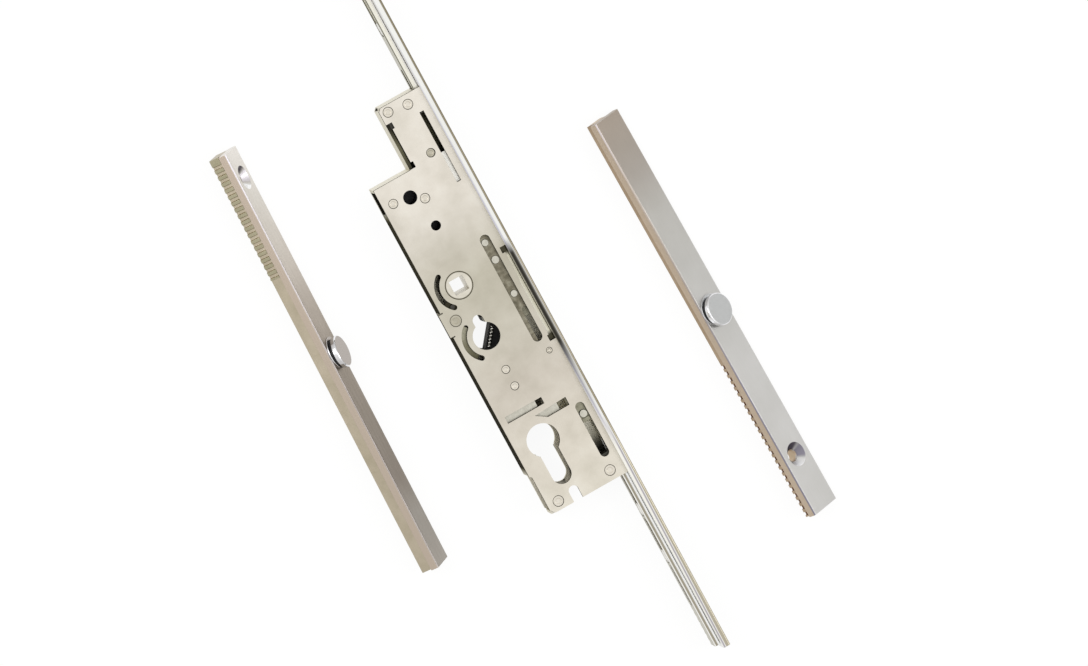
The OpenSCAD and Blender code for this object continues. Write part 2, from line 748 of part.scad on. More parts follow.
module bar_profile() {
    r = bar_edge_r;
    h = bar_w / 2;
    bar2d(-h, h, -bar_t, -r);
    bar2d(r - h, h - r, -bar_t, 0);
    for (s = [-1, 1]) translate([s * (h - r), -r]) circle(r, $fn = 32);
}

hole_from_end = 15.8;
module bar_strip(span, hole_y, rivet_y) {
    sink = (bar_sink_d - bar_screw_d) / 2;
    difference() {
        translate([0, span[1], 0]) rotate([90, 0, 0]) linear_extrude(span[1] - span[0]) bar_profile();
        translate([0, hole_y, -bar_t - 1]) cylinder(h = bar_t + 2, d = bar_screw_d);
        translate([0, hole_y, -sink]) cylinder(h = sink + eps, d1 = bar_screw_d, d2 = bar_sink_d + 2 * eps);
        translate([cam_x, 0, -bar_t - 1]) cylinder(h = bar_t + 2, d = cam_shank_d + 2 * fit);
        for (y = rivet_y) translate([cam_x, y, -bar_t - 1]) cylinder(h = 3, d = bar_rivet_d + 2 * fit);
    }
}

bar_rivet_d = 4;
module bar_rack(span, rx, t, teeth, hole_y, rivet_y) {
    difference() {
        translate([0, 0, -bar_t - t]) linear_extrude(t) difference() {
            bar2d(rx[0], rx[1], span[0], span[1]);
            translate([rx[0], 0]) tooth_gaps(teeth[0], teeth[1]);
        }
        translate([0, hole_y, -bar_t - t - 1]) cylinder(h = t + 2, d = bar_screw_d);
        translate([cam_x, 0, -bar_t - t + 1]) cylinder(h = t, d = cam_shank_d + 2 * fit);
        for (y = rivet_y) translate([cam_x, y, -bar_t - t - 1])
            cylinder(h = t + 2, d = bar_rivet_d + 2 * fit);
    }
}

module bar_rivets(t, rivet_y) {
    for (y = rivet_y) translate([cam_x, y, -bar_t - t + 0.1]) cylinder(h = t + 1.8, d = bar_rivet_d);
}

// Mushroom cam: shank, flange, neck and an eccentric head with bevelled rims
flange_h = 0.7;
throw_turn = -70;
module cam(t) {
    seat = 0.06;
    bevel = 0.5;
    head_z = flange_h + cam_gap;
    translate([cam_x, 0, 0]) {
        translate([0, 0, -bar_t - t + 1.3]) cylinder(h = bar_t + t - 1, d = cam_shank_d);
        translate([0, 0, seat]) cylinder(h = flange_h, d = cam_d - 0.5);
        translate(polar(cam_throw, throw_turn)) {
            translate([0, 0, seat]) cylinder(h = head_z + 1, d = cam_neck_d);
            translate([0, 0, head_z]) rotate_extrude()
                polygon([[0, 0], [cam_d / 2 - bevel, 0], [cam_d / 2, bevel], [cam_d / 2, cam_head_h - bevel],
                    [cam_d / 2 - bevel, cam_head_h], [0, cam_head_h]]);
        }
    }
}

// Black washer in the gap between the flange and the head
module cam_washer() {
    translate([cam_x, 0, 0]) translate(polar(cam_throw, throw_turn)) translate([0, 0, flange_h + 0.1])
        difference() {
            cylinder(h = cam_gap - 0.15, d = cam_d - 1.6);
            translate([0, 0, -1]) cylinder(h = cam_gap + 2, d = cam_neck_d + 2 * fit);
        }
}

lower_hole_y = lower_span[1] - hole_from_end;
upper_hole_y = upper_span[0] + 0.136 * upper_bar_l;
lower_rivets = [for (k = [0.06, 0.26, 0.69]) lower_span[0] + k * lower_bar_l];
upper_rivets = [for (k = [0.31, 0.68, 0.94]) upper_span[0] + k * upper_bar_l];

module lower_bar_strip() {
    color("silver") lower_place() bar_strip(lower_span, lower_hole_y, lower_rivets);
}

// The lower rack's plain edge stands back from its teeth, and a rebate parts its toothed edge from the strip
plain_back = 1;
rebate = [1.6, 1.2, 22];
module lower_bar_rack() {
    teeth_y = lower_span[1] - lower_teeth_l;
    under = -bar_t - lower_rack_t - 1;
    color("#b3ae90") lower_place() difference() {
        bar_rack(lower_span, lower_rx, lower_rack_t, [teeth_y, lower_span[1]], lower_hole_y, lower_rivets);
        translate([lower_rx[0] - 1, lower_span[0] - 1, under])
            cube([1 + plain_back, teeth_y - lower_span[0] + 1, lower_rack_t + 2]);
        translate([lower_rx[0] - 1, teeth_y - rebate[2], -bar_t - rebate[1]])
            cube([1 + rebate[0], lower_teeth_l + rebate[2] + 1, rebate[1] + 1]);
    }
}

module lower_bar_rivets() {
    color("silver") lower_place() bar_rivets(lower_rack_t, lower_rivets);
}

module lower_bar_cam() {
    color("white") lower_place() cam(lower_rack_t);
}

module lower_cam_washer() {
    color("black") lower_place() cam_washer();
}

module upper_bar_strip() {
    color("silver") upper_place() bar_strip(upper_span, upper_hole_y, upper_rivets);
}

module upper_bar_rack() {
    color("#b3ae90") upper_place() bar_rack(upper_span, upper_rx, upper_rack_t,
        [upper_span[0], upper_span[0] + upper_teeth_l], upper_hole_y, upper_rivets);
}

module upper_bar_rivets() {
    color("silver") upper_place() bar_rivets(upper_rack_t, upper_rivets);
}

module upper_bar_cam() {
    color("white") upper_place() cam(upper_rack_t);
}

module upper_cam_washer() {
    color("black") upper_place() cam_washer();
}

back_case();
cover_plate();
faceplate();
spacer_rivets();
head_rivet();
top_block();
bottom_block();
case_screws();
rail_guides();
screw_bushes();
spring_stud();
brake_spring();
upper_follower();
upper_stop_pin();
lower_follower();
lower_cam_plate();
lower_follower_spring();
drive_rail();
rack_slide();
slide_plate();
slide_rivets();
lower_slide();
lower_slide_pin();
deadlock_plate();
lower_bar_strip();
lower_bar_rack();
lower_bar_rivets();
lower_bar_cam();
lower_cam_washer();
upper_bar_strip();
upper_bar_rack();
upper_bar_rivets();
upper_bar_cam();
upper_cam_washer();
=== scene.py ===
"""Multipoint door lock, dressed and lit as in its catalogue photograph.

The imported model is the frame, in metres: X points to the door's edge, Y up the lock and Z out of the cover.
"""
import json
import math

import bpy
from mathutils import Matrix, Vector


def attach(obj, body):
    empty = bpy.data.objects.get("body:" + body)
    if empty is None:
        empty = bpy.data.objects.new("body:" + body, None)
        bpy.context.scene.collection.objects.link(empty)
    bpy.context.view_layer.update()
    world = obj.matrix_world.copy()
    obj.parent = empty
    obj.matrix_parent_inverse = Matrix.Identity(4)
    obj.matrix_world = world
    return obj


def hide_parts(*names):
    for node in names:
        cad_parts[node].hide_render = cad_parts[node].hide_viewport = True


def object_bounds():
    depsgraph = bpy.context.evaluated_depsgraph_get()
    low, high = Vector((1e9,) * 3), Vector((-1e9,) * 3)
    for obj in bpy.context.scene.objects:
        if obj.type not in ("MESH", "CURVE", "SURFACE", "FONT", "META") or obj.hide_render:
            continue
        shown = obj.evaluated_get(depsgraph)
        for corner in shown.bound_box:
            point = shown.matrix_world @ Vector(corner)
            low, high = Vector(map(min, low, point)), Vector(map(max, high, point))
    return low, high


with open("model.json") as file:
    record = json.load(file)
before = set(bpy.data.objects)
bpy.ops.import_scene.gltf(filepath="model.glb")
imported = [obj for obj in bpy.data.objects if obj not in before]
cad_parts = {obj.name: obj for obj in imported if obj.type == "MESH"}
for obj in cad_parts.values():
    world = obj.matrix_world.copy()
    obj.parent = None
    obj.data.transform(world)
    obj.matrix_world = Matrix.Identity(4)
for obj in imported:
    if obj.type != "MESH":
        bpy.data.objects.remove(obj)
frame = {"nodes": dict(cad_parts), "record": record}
cad_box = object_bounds()

MM = 0.001
BODIES = frame["record"]["behaviour"]["bodies"]
BODY_OF = {node: body for body, nodes in BODIES.items() for node in nodes}
JOINTS = {joint["name"]: joint for joint in frame["record"]["behaviour"]["joints"]}


def linear(code):
    """An sRGB hex colour as linear red, green, blue and alpha."""
    parts = [int(code[i:i + 2], 16) / 255 for i in (1, 3, 5)]
    return tuple(c / 12.92 if c <= 0.04045 else ((c + 0.055) / 1.055) ** 2.4 for c in parts) + (1.0,)


# Materials

# The Mix node has several sockets of one name, so those it uses for colours are given by number
MIX_FACTOR, MIX_A, MIX_B, MIX_OUT = 0, 6, 7, 2


def add(tree, kind, inputs=None, stops=None, **settings):
    """One shader node with its settings, the stops of its ramp and what feeds its sockets."""
    made = tree.nodes.new("ShaderNode" + kind)
    for name, value in settings.items():
        setattr(made, name, value)
    if stops:
        while len(made.color_ramp.elements) < len(stops):
            made.color_ramp.elements.new(1.0)
        for element, (place, code) in zip(made.color_ramp.elements, stops):
            element.position = place
            element.color = linear(code)
    for name, value in (inputs or {}).items():
        if isinstance(value, bpy.types.NodeSocket):
            tree.links.new(value, made.inputs[name])
        else:
            made.inputs[name].default_value = value
    return made


def material(name):
    """A new material and its empty node tree."""
    made = bpy.data.materials.new(name)
    made.use_nodes = True
    made.node_tree.nodes.clear()
    return made, made.node_tree


def grain_per(size_mm):
    """Scale of a noise whose patches are about that many millimetres across."""
    return 1 / (size_mm * MM)


def mixed(tree, share, colour, other, blend="MIX"):
    """The colour with a share of the other one in it."""
    return add(tree, "Mix", {MIX_FACTOR: share, MIX_A: colour, MIX_B: other},
               data_type="RGBA", blend_type=blend).outputs[MIX_OUT]


def along(tree, place, direction, start, end, stops):
    """The stops of a tone between two places along a direction, in millimetres from the origin."""
    far = add(tree, "VectorMath", {0: place.outputs["Object"], 1: Vector(direction).normalized()},
              operation="DOT_PRODUCT")
    share = add(tree, "MapRange", {"Value": far.outputs["Value"], "From Min": start * MM,
                                   "From Max": end * MM})
    return add(tree, "ValToRGB", {"Fac": share.outputs["Result"]}, stops=stops).outputs["Color"]


def own_shade(tree, place, shade):
    """A colour, or the settings of along for one that changes with the place."""
    return linear(shade) if isinstance(shade, str) else along(tree, place, *shade)


# Steps of the paint of a material: each takes the colour and gives it back changed

def level(tree, place, colour, *tone):
    """Multiplies by a tone of along."""
    return mixed(tree, 1.0, colour, along(tree, place, *tone), "MULTIPLY")


def zone(tree, place, colour, direction, start, end, weights, shade):
    """Gives a stretch its own shade where the weights, stops along a direction, are white."""
    share = along(tree, place, direction, start, end, weights)
    return mixed(tree, share, colour, own_shade(tree, place, shade))


def facing(tree, place, colour, direction, shade, start, end):
    """Gives the faces that look that way their own shade, from one cosine to the other."""
    near = add(tree, "VectorMath", {0: place.outputs["Normal"], 1: Vector(direction).normalized()},
               operation="DOT_PRODUCT")
    share = add(tree, "MapRange", {"Value": near.outputs["Value"], "From Min": start, "From Max": end},
                interpolation_type="SMOOTHSTEP")
    return mixed(tree, share.outputs["Result"], colour, own_shade(tree, place, shade))


def round_axis(tree, place, colour, centre, stops, end):
    """Multiplies by the stops of a tone from an upright axis (0) to a radius in millimetres (1)."""
    flat = add(tree, "VectorMath", {0: place.outputs["Object"], 1: (1, 1, 0)}, operation="MULTIPLY")
    away = add(tree, "VectorMath", {0: flat.outputs["Vector"], 1: Vector(centre) * MM}, operation="DISTANCE")
    share = add(tree, "MapRange", {"Value": away.outputs["Value"], "From Min": 0.0, "From Max": end * MM})
    tone = add(tree, "ValToRGB", {"Fac": share.outputs["Result"]}, stops=stops)
    return mixed(tree, 1.0, colour, tone.outputs["Color"], "MULTIPLY")


def slope(tree, place, colour, stops):
    """Multiplies by the stops of a tone from upright walls (0) to faces that lie flat (1)."""
    split = add(tree, "SeparateXYZ", {"Vector": place.outputs["Normal"]})
    flat = add(tree, "Math", {0: split.outputs["Z"]}, operation="ABSOLUTE")
    tone = add(tree, "ValToRGB", {"Fac": flat.outputs[0]}, stops=stops)
    return mixed(tree, 1.0, colour, tone.outputs["Color"], "MULTIPLY")


def metal(name, shades, roughness, paint=(), patch_mm=26, grain_mm=0.7, bump_mm=0.012, streaks=(1, 1, 1),
          dull_rim=False):
    """A plated or drawn steel: cloudy patches between the shades, and a fine grain.

    The grain is drawn out into streaks where the steel was rolled. paint holds the steps laid over the
    patches, and a dull rim keeps its own colour where it is seen edge on.
    """
    made, tree = material(name)
    place = add(tree, "TexCoord")
    patches = add(tree, "TexNoise", {"Vector": place.outputs["Object"], "Scale": grain_per(patch_mm),
                                     "Detail": 4.0, "Roughness": 0.55})
    colour = add(tree, "ValToRGB", {"Fac": patches.outputs["Fac"]}, stops=shades).outputs["Color"]
    for step, *settings in paint:
        colour = step(tree, place, colour, *settings)
    stretched = add(tree, "Mapping", {"Vector": place.outputs["Object"], "Scale": streaks})
    grain = add(tree, "TexNoise", {"Vector": stretched.outputs["Vector"], "Scale": grain_per(grain_mm),
                                   "Detail": 2.0})
    rough = add(tree, "MapRange", {"Value": grain.outputs["Fac"], "From Min": 0.3, "From Max": 0.7,
                                   "To Min": roughness - 0.05, "To Max": roughness + 0.06})
    bump = add(tree, "Bump", {"Height": grain.outputs["Fac"], "Strength": 0.35, "Distance": bump_mm * MM})
    values = {"Base Color": colour, "Metallic": 1.0, "Roughness": rough.outputs["Result"],
              "Normal": bump.outputs["Normal"]}
    if dull_rim:
        values["Specular Tint"] = colour
    shader = add(tree, "BsdfPrincipled", values)
    add(tree, "OutputMaterial", {"Surface": shader.outputs["BSDF"]})
    return made


# Size of the mottling on a black piece, and depth of its orange peel
MOTTLE_MM = 1.5
PEEL_MM = 0.02


def dark(name, shades, roughness, gloss, paint=()):
    """A black piece: mottled a little, with a fine orange-peel surface."""
    made, tree = material(name)
    place = add(tree, "TexCoord")
    mottle = add(tree, "TexNoise", {"Vector": place.outputs["Object"], "Scale": grain_per(MOTTLE_MM),
                                    "Detail": 4.0})
    colour = add(tree, "ValToRGB", {"Fac": mottle.outputs["Fac"]}, stops=shades).outputs["Color"]
    for step, *settings in paint:
        colour = step(tree, place, colour, *settings)
    rough = add(tree, "MapRange", {"Value": mottle.outputs["Fac"], "From Min": 0.3, "From Max": 0.7,
                                   "To Min": roughness - 0.08, "To Max": roughness + 0.08})
    bump = add(tree, "Bump", {"Height": mottle.outputs["Fac"], "Strength": 0.3, "Distance": PEEL_MM * MM})
    shader = add(tree, "BsdfPrincipled", {"Base Color": colour, "Specular IOR Level": gloss,
                                          "Roughness": rough.outputs["Result"],
                                          "Normal": bump.outputs["Normal"]})
    add(tree, "OutputMaterial", {"Surface": shader.outputs["BSDF"]})
    return made


# The shank of each cam stands this far from the middle of its bar's face
CAM_OFF_MIDDLE = 1.5


def bar_frame(name):
    """The directions across, along and out of a bar's face as it lies, and the place of its middle across."""
    turn = JOINTS[name + "_cam_turn"]
    out = Vector(turn["axis"]).normalized()
    along_bar = Vector(JOINTS[name + "_bar_slide"]["axis"]).normalized()
    across = along_bar.cross(out)
    return across, along_bar, out, across.dot(Vector(turn["pos_m"])) / MM + CAM_OFF_MIDDLE


LOWER_ACROSS, LOWER_ALONG, LOWER_OUT, LOWER_MIDDLE = bar_frame("lower")
UPPER_ACROSS, UPPER_ALONG, UPPER_OUT, UPPER_MIDDLE = bar_frame("upper")
X, Y, Z = (1, 0, 0), (0, 1, 0), (0, 0, 1)

# Stretches that the tones below are laid along, in millimetres from the origin: the case from its bottom to
# its top, the strip from its back to its front, the rail with its rear edge, and each bar from end to end
CASE_SPAN = (-128, 100)
STRIP_DEPTH = (31, 35)
RAIL_DEPTH = (27, 31.5)
LOWER_SPAN = (-124, 117)
UPPER_SPAN = (-198, 37)
# Streaks of the grain along Y, as rolling and drawing leave them
DRAWN = (1, 0.03, 1)
SATIN = (1, 0.02, 1)

# Painted shade: sloped and upright faces are painted darker than the flat face beside them, which draws
# a thin line round each rivet
RIVET_RIM_SHADE = (slope, [(0.0, "#96938a"), (0.85, "#b9b5aa"), (0.97, "#f6f4f0"), (1.0, "#ffffff")])

# Zinc-plated sheet steel, stamped: a soft warm grey with clouds of olive, painted lighter towards its ends
# as painted reflection. Its sheared walls and broken edges are painted dark, as painted shade, so they draw
# a thin line round each opening
cover_zinc = metal("zinc_plated_cover_sheet", [(0.3, "#ede8de"), (0.5, "#e5dfd4"), (0.72, "#dad4c8")], 0.4, [
    (level, Y, *CASE_SPAN, [(0.0, "#fcfcf9"), (0.14, "#f6f5f2"), (0.3, "#e9e7e4"), (0.42, "#e6e6e1"),
                            (0.56, "#dadad2"), (0.7, "#f6f6f5"), (0.78, "#ffffff"), (1.0, "#ffffff")]),
    (slope, [(0.0, "#6c6a5b"), (0.5, "#7b7869"), (0.9, "#bdb9ad"), (0.985, "#ffffff")])],
    patch_mm=17, dull_rim=True)
# The same sheet bent into the back half. Its walls are painted dark olive and its rear wall darker, as
# painted shade on the light zinc of its back face. The walls of its head, the wall at the right of the
# cylinder hole and the lower rear corner are painted lighter, as painted light, and painted shade and light
# take its floor from olive under the slots to near black at both ends
case_zinc = metal("zinc_plated_back_sheet", [(0.3, "#8f8b7a"), (0.7, "#7d7968")], 0.42, [
    (facing, (-1, 0, 0), (Y, *CASE_SPAN, [(0.0, "#8a8778"), (0.08, "#5c5949"), (0.16, "#4f4c3c"),
                                          (0.76, "#57543f"), (0.8, "#d9d6c9"), (1.0, "#e6e3d8")]), 0.25, 0.6),
    (facing, Y, "#efece2", 0.25, 0.6),
    (facing, (0, 0, -1), "#cfcab9", 0.8, 0.95),
    (facing, Z, (Y, *CASE_SPAN, [(0.0, "#191916"), (0.044, "#3a3831"), (0.07, "#2d2c27"), (0.085, "#6b685c"),
                                 (0.105, "#c5c1b0"), (0.13, "#f4f0e0"), (0.205, "#fff8dc"),
                                 (0.222, "#5c594e"), (0.26, "#8f8b7a"), (0.34, "#d5d1c0"), (0.43, "#d5d1c0"),
                                 (0.65, "#bab6a4"), (0.74, "#26251f"), (0.83, "#26251f"), (0.9, "#6b6853"),
                                 (0.95, "#2d2b25")]), 0.8, 0.95),
    (zone, (1, -0.2, 0), 24.6, 29, [(0.0, "#000000"), (0.2, "#ffffff"), (0.86, "#ffffff"), (1.0, "#000000")],
     "#cfcab9"),
    (zone, (1, 1, 0), -85.6, -82, [(0.0, "#ffffff"), (1.0, "#000000")], "#dedacd")],
    patch_mm=12, dull_rim=True)
# Drawn and polished steel strip: bright, with a violet line of painted shade where it meets the rail and a
# tan line of painted shade at its front edge. Beside the case its back is painted dark, as painted shade,
# and below the case the painted violet line lies nearer to its front
face_silver = metal("polished_drawn_strip", [(0.3, "#f6f6f2"), (0.7, "#eeeeea")], 0.26, [
    (level, (1, 0.0055, 0), *STRIP_DEPTH, [(0.0, "#e2e0e6"), (0.13, "#c9c6d6"), (0.24, "#ececf2"),
                                           (0.36, "#ffffff"), (1.0, "#ffffff")]),
    (level, X, *STRIP_DEPTH, [(0.0, "#ffffff"), (0.62, "#ffffff"), (0.72, "#8d8572"), (0.92, "#857d69"),
                              (1.0, "#968e7a")]),
    (zone, Y, -95, 10, [(0.0, "#000000"), (0.24, "#a0a0a0"), (0.42, "#ffffff"), (0.92, "#ffffff"),
                        (1.0, "#000000")],
     (X, *STRIP_DEPTH, [(0.0, "#8f8b7e"), (0.09, "#45433d"), (0.2, "#33312c"), (0.42, "#45433d"),
                        (0.56, "#8f8d87"), (0.66, "#d9d7d0"), (0.74, "#97907f"), (1.0, "#8d8572")])),
    (zone, Y, -115, -95, [(0.0, "#ffffff"), (1.0, "#000000")],
     ((1, -0.01, 0), 33, 37, [(0.0, "#f6f4ec"), (0.1, "#f6f4ec"), (0.2, "#b4b0b5"), (0.32, "#aca8ad"),
                              (0.4, "#f6f6f2"), (0.44, "#efede6"), (0.48, "#b5ae9b")])),
    (facing, X, "#e4e4df", 0.9, 0.99),
    (facing, (-1, 0, 0), "#dcdcd6", 0.6, 0.9)],
    grain_mm=0.5, streaks=DRAWN)
# Zinc-plated steel rivets, their ends pressed flat: the cover's grey again, with a fine ring of painted
# shade round each
rivet_steel = metal("zinc_plated_rivet", [(0.3, "#e6e0d4"), (0.7, "#d8d2c5")], 0.38, [RIVET_RIM_SHADE], patch_mm=3)
# Plain steel, machined and oiled: painted a dull dark grey, as painted shade deep inside the case
block_steel = metal("plain_machined_steel", [(0.3, "#55534c"), (0.7, "#454440")], 0.45, patch_mm=6)
# Bright zinc on turned screws, studs and rivets: a clean light grey with small sharp highlights
screw_zinc = metal("bright_zinc_screw", [(0.3, "#e2e0da"), (0.7, "#d0cdc4")], 0.28, patch_mm=3)
# Zinc-plated and yellow passivated steel: olive beside the plain zinc of the cover, with a ring of
# painted shade round each rivet end
olive_zinc = metal("yellow_passivated_steel", [(0.3, "#c4bfaf"), (0.7, "#b2ad9c")], 0.4, [RIVET_RIM_SHADE],
                   patch_mm=3)
# The stamped and passivated cam plate in the lower arc slot is painted darker towards its lower end, as
# painted shade where it lies deep
arc_zinc = metal("passivated_cam_plate", [(0.3, "#b3b09c"), (0.7, "#a09d89")], 0.42, [
    (level, Y, -45, -24, [(0.0, "#6f6d60"), (0.35, "#8a887b"), (0.75, "#cfcdc3"), (1.0, "#ffffff")])],
    patch_mm=4)
# Hard drawn spring wire with oil on it: light and dark from turn to turn
wire_steel = metal("oiled_spring_wire", [(0.3, "#efede6"), (0.7, "#a3a196")], 0.35, patch_mm=0.9)
# Die-cast zinc hub: satin on top, with a line of painted shade at its rim, bright walls in its square and
# its arms behind the slot painted dark, as painted shade
hub_zinc = metal("die_cast_zinc_hub", [(0.3, "#e3ded1"), (0.7, "#d2cdbf")], 0.4, [
    (slope, [(0.0, "#ffffff"), (0.25, "#ffffff"), (0.45, "#77756a"), (0.9, "#8a877c"), (0.98, "#ffffff")]),
    (round_axis, (0, 0, 0), [(0.0, "#ffffff"), (0.555, "#ffffff"), (0.58, "#7f7c70"), (0.65, "#55534a"),
                             (1.0, "#4a483f")], 12)], patch_mm=5, grain_mm=0.4)
# Drawn and passivated rail: above the case it is ivory with a rear edge painted dark olive as painted shade,
# below the case white with a brown line. Behind the case's front edge it is light, with gaps painted black
# as painted shade at both ends of the opening there
rail_zinc = metal("olive_zinc_rail", [(0.3, "#f3f0e4"), (0.7, "#e6e3d4")], 0.34, [
    (level, X, 28, 31.5, [(0.0, "#8a8778"), (0.1, "#c9c5b8"), (0.2, "#ffffff"), (0.85, "#f0ede2"),
                          (1.0, "#e0dccd")]),
    (level, Y, -62, 22, [(0.0, "#ffffff"), (0.05, "#55534a"), (0.195, "#55534a"), (0.22, "#ffffff"),
                         (0.75, "#ffffff"), (0.775, "#55534a"), (0.95, "#55534a"), (1.0, "#ffffff")]),
    (zone, Y, 99, 101, [(0.0, "#000000"), (1.0, "#ffffff")],
     (X, *RAIL_DEPTH, [(0.0, "#6c6a58"), (0.29, "#6c6a58"), (0.36, "#f5f2e6"), (0.7, "#f5f2e6"),
                       (0.85, "#e6e4e8"), (1.0, "#dcdae0")])),
    (zone, Y, -109, -107.5, [(0.0, "#ffffff"), (1.0, "#000000")],
     (X, *RAIL_DEPTH, [(0.0, "#fbfaf6"), (0.3, "#fbfaf6"), (0.36, "#a39c8b"), (0.56, "#a8a190"),
                       (0.66, "#ffffff"), (1.0, "#ffffff")])),
    (facing, (-1, 0, 0), "#b4b1a1", 0.6, 0.9)], streaks=DRAWN)
# Stamped and passivated steel of the hidden slides: a plain olive, seen only in the shade of the slots
slide_steel = metal("stamped_slide_steel", [(0.3, "#a5a28f"), (0.7, "#8a8775")], 0.42, patch_mm=3)
# The stamped plate in the long slot is mottled and painted dark, as painted shade, with walls of painted
# shade darker still, and it is bright at its narrow upper end
plate_steel = metal("slide_plate_painted_shade", [(0.3, "#a19d8b"), (0.5, "#857f6e"), (0.7, "#6b6757")], 0.45, [
    (zone, Y, 44, 47, [(0.0, "#000000"), (1.0, "#ffffff")], "#fbf9f2"),
    (slope, [(0.0, "#55534a"), (0.8, "#8f8c81"), (0.97, "#ffffff")])], patch_mm=2.6)
# Zinc-plated steel, stamped: a light grey face whose edges are painted dark, as painted shade, which sets it
# off from what lies under it
bright_plate = metal("bright_zinc_plate", [(0.3, "#d6d3c7"), (0.7, "#c4c1b4")], 0.4, [
    (slope, [(0.0, "#77746a"), (0.85, "#8f8c81"), (0.97, "#ffffff")])], patch_mm=2.5)
# Drawn steel strip of the bars, ground to a satin: its face is painted from ivory to a brown grey along its
# length and its side tan, as painted reflection, with a painted highlight line between them that on the
# upper bar turns to a violet line of painted shade towards its lower end. The countersink is painted dark
# above the screw hole, as painted shade, and bright below it, as a painted highlight
lower_bar_face = metal("satin_steel_lower_strip", [(0.3, "#efebe5"), (0.7, "#e4dfd8")], 0.42, [
    (level, LOWER_ALONG, *LOWER_SPAN, [(0.0, "#b0aca6"), (0.12, "#a8a49e"), (0.2, "#978e84"),
                                       (0.34, "#9a9186"), (0.5, "#aaa196"), (0.62, "#c3bbb2"),
                                       (0.72, "#e2ddd7"), (0.88, "#efeeeb"), (1.0, "#ffffff")]),
    (facing, -LOWER_ACROSS, "#c2b4a5", 0.85, 0.97),
    (facing, LOWER_OUT - LOWER_ACROSS, (LOWER_ALONG, *LOWER_SPAN, [(0.0, "#b3aca8"), (0.4, "#aaa29e"),
                                                                   (0.6, "#c9c2c0"), (1.0, "#f1edf4")]),
     0.84, 0.97),
    (facing, LOWER_OUT - LOWER_ALONG, "#514c53", 0.75, 0.95),
    (facing, LOWER_OUT + LOWER_ALONG, "#ffffff", 0.8, 0.95)], bump_mm=0.006, streaks=SATIN)
upper_bar_face = metal("satin_steel_upper_strip", [(0.3, "#d5d4d2"), (0.7, "#cdccc9")], 0.42, [
    (level, UPPER_ALONG, *UPPER_SPAN, [(0.0, "#fafafa"), (0.3, "#fbfbfb"), (0.55, "#f3f3f2"),
                                       (0.75, "#efeeeb"), (0.86, "#d8d1ca"), (1.0, "#d6c9bc")]),
    (facing, -UPPER_ACROSS, "#cebda9", 0.85, 0.97),
    (facing, UPPER_OUT - UPPER_ACROSS, (UPPER_ALONG, *UPPER_SPAN, [(0.0, "#86838f"), (0.35, "#8f8b95"),
                                                                   (0.55, "#a8a09c"), (0.7, "#b9aea4"),
                                                                   (0.85, "#c8bcb2"), (1.0, "#d8d0d2")]),
     0.84, 0.97),
    (facing, UPPER_OUT - UPPER_ALONG, "#5d5760", 0.75, 0.95),
    (facing, UPPER_OUT + UPPER_ALONG, "#ffffff", 0.8, 0.95)], bump_mm=0.006, streaks=SATIN)
# Passivated steel rack behind each strip, its teeth milled: their tops are olive, the floors between them tan
lower_rack = metal("olive_zinc_lower_rack", [(0.3, "#c6bba7"), (0.7, "#b6ac96")], 0.38, [
    (level, LOWER_ACROSS, LOWER_MIDDLE - 7.2, LOWER_MIDDLE - 6.2, [(0.3, "#e6ebe2"), (0.7, "#ffffff")])],
    patch_mm=10)
# On the upper rack a band over the gaps between its teeth is painted dark brown, as painted shade
upper_rack = metal("olive_zinc_upper_rack", [(0.3, "#cbb89f"), (0.7, "#bba78d")], 0.38, [
    (level, UPPER_ACROSS, UPPER_MIDDLE - 7.6, UPPER_MIDDLE - 4, [(0.0, "#ffffff"), (0.12, "#8f7260"),
                                                                 (0.4, "#8f7260"), (0.6, "#ffffff")])],
    patch_mm=10)
# Turned steel cams, nickel plated: a bright rim that mirrors the paper, and a satin top painted plain grey,
# as painted shade
lower_cam = metal("nickel_lower_cam", [(0.3, "#f6f6f8"), (0.7, "#ebebee")], 0.2, [
    (facing, LOWER_OUT, "#a9a19a", 0.93, 0.99)], patch_mm=4, bump_mm=0.004)
upper_cam = metal("nickel_upper_cam", [(0.3, "#f6f6f8"), (0.7, "#ebebee")], 0.2, [
    (facing, UPPER_OUT, "#dfe1e2", 0.93, 0.99)], patch_mm=4, bump_mm=0.004)
# Moulded black nylon of the bushes and washers, dark pieces placed as painted shade where holes and gaps
# lie in deep shade
shade_black_nylon = dark("black_nylon_as_painted_shade", [(0.3, "#17171a"), (0.7, "#0e0e10")], 0.45, 0.4)
# Lower follower, dull black as after hot oxide and oil, painted a lighter grey in the trench of its spring
black_oxide = dark("black_oxide_follower", [(0.3, "#0f0f0e"), (0.7, "#060606")], 0.6, 0.08, [
    (zone, Z, 5.7, 6.4, [(0.0, "#ffffff"), (1.0, "#000000")], "#4a4943")])

FINISH = {
    "back_case": case_zinc, "cover_plate": cover_zinc, "faceplate": face_silver,
    "spacer_rivets": rivet_steel, "head_rivet": olive_zinc, "top_block": block_steel,
    "bottom_block": block_steel, "case_screws": screw_zinc, "rail_guides": screw_zinc,
    "screw_bushes": shade_black_nylon, "spring_stud": olive_zinc, "brake_spring": wire_steel,
    "upper_follower": hub_zinc, "upper_stop_pin": block_steel, "lower_follower": black_oxide,
    "lower_cam_plate": arc_zinc, "lower_follower_spring": wire_steel, "drive_rail": rail_zinc,
    "rack_slide": slide_steel, "slide_plate": plate_steel, "slide_rivets": bright_plate,
    "lower_slide": slide_steel, "lower_slide_pin": bright_plate, "deadlock_plate": bright_plate,
    "lower_bar_strip": lower_bar_face, "lower_bar_rack": lower_rack, "lower_bar_rivets": screw_zinc,
    "lower_bar_cam": lower_cam, "lower_cam_washer": shade_black_nylon,
    "upper_bar_strip": upper_bar_face, "upper_bar_rack": upper_rack, "upper_bar_rivets": screw_zinc,
    "upper_bar_cam": upper_cam, "upper_cam_washer": shade_black_nylon,
}

